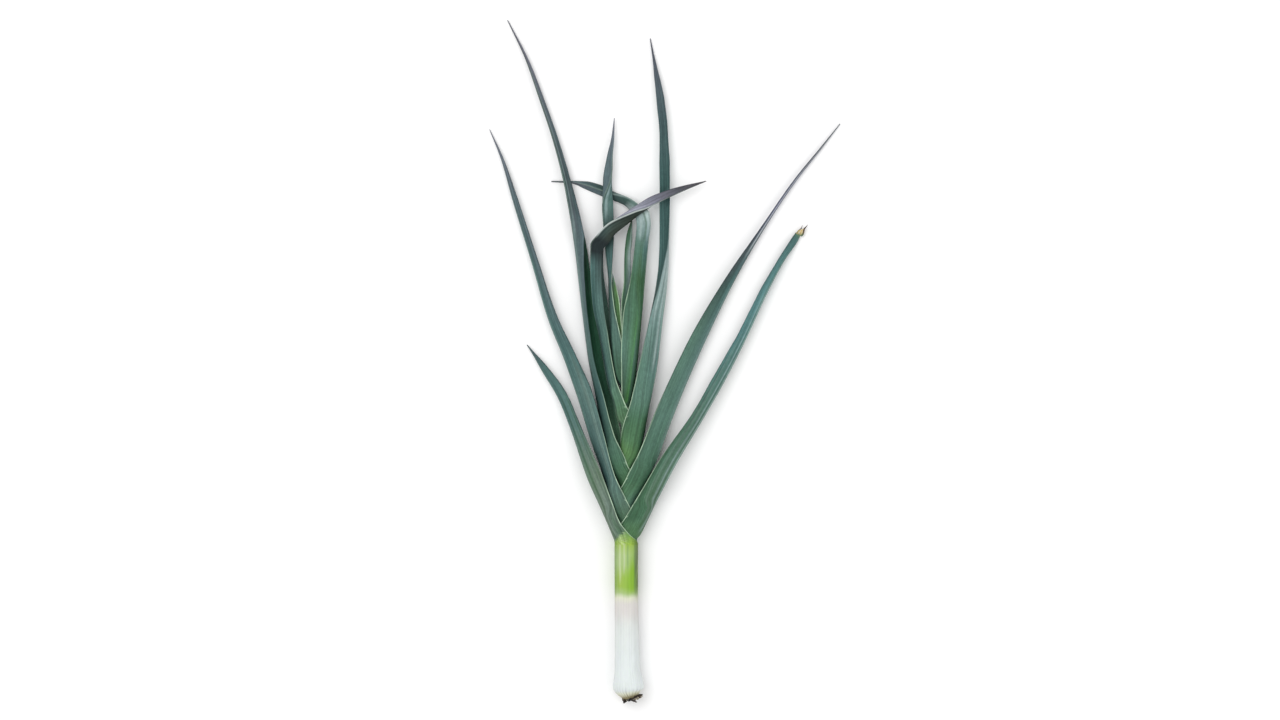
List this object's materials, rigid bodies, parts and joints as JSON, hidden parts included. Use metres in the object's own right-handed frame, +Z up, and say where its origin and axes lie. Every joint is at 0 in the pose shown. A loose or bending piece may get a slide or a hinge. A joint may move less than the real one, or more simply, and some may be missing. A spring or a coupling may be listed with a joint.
{
  "type": "leek",
  "caption": "Whole leek lying flat: a white shaft with a small bulb and trimmed roots, and long folded green leaves that fan out on both sides and droop at their tips.",
  "frame": {"origin": "under the middle of the leek's box, on the surface it lies on", "axes": "+Y from the roots towards the leaf tips, +Z up, +X to the right seen from above with the tips away"},
  "size_m": [0.4052, 0.7862, 0.0358],
  "materials": {
    "sheath": "satin, white turning yellow-green towards the leaves",
    "stem_plate": "rough, tan",
    "root": "rough, near black",
    "leaf": "waxy blue-green with fine parallel veins",
    "young_leaf": "satin yellow-green"
  },
  "bodies": {
    "root": {"shaft": "sheath", "basal_plate": "stem_plate", "root_stub_1": "root", "root_stub_2": "root", "root_stub_3": "root", "root_stub_4": "root", "root_stub_5": "root", "root_stub_6": "root", "root_stub_7": "root", "root_stub_8": "root", "leaf_left_1": "leaf", "leaf_left_2": "leaf", "leaf_left_3": "leaf", "leaf_left_4": "leaf", "leaf_left_5": "leaf", "leaf_right_1": "leaf", "leaf_right_2": "leaf", "leaf_right_3": "leaf", "leaf_right_4": "leaf", "leaf_right_5": "leaf", "leaf_left_6": "young_leaf"}
  },
  "joints": []
}
